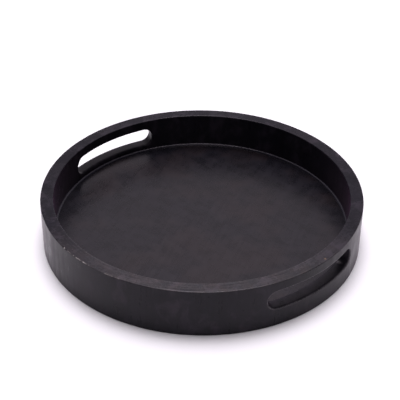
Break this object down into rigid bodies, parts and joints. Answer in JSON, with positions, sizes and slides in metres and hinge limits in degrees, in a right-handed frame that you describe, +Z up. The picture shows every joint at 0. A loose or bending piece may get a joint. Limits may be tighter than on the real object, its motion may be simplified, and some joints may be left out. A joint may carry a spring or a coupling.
{
  "type": "serving tray",
  "caption": "Round flat-bottomed serving tray with an upright laminated wall and two opposite rounded hand slots, all satin black.",
  "frame": {"origin": "middle of the tray's outline, on the plane that its wall rests on", "axes": "+Z up out of the tray, +X through one hand slot and -X through the other"},
  "size_m": [0.35, 0.35, 0.055],
  "materials": {
    "wall_black": "wood painted satin black, with faint upright grain",
    "bead_black": "wood painted satin black",
    "floor_black": "wood sheet painted satin black, with faint mottled grain",
    "underside_black": "wood sheet painted matt black",
    "core_board": "bare board",
    "brad_steel": "bright drawn steel"
  },
  "bodies": {
    "root": {"outer_ply_front": "wall_black", "outer_ply_rear": "wall_black", "core_ply_front": "wall_black", "core_ply_rear": "wall_black", "inner_ply_front": "wall_black", "inner_ply_rear": "wall_black", "support_hoop_front": "wall_black", "support_hoop_rear": "wall_black", "floor_bead": "bead_black", "floor_face": "floor_black", "floor_core": "core_board", "floor_backing": "underside_black", "brad_1": "brad_steel", "brad_2": "brad_steel", "brad_3": "brad_steel", "brad_4": "brad_steel", "brad_5": "brad_steel", "brad_6": "brad_steel", "brad_7": "brad_steel", "brad_8": "brad_steel"}
  },
  "joints": []
}
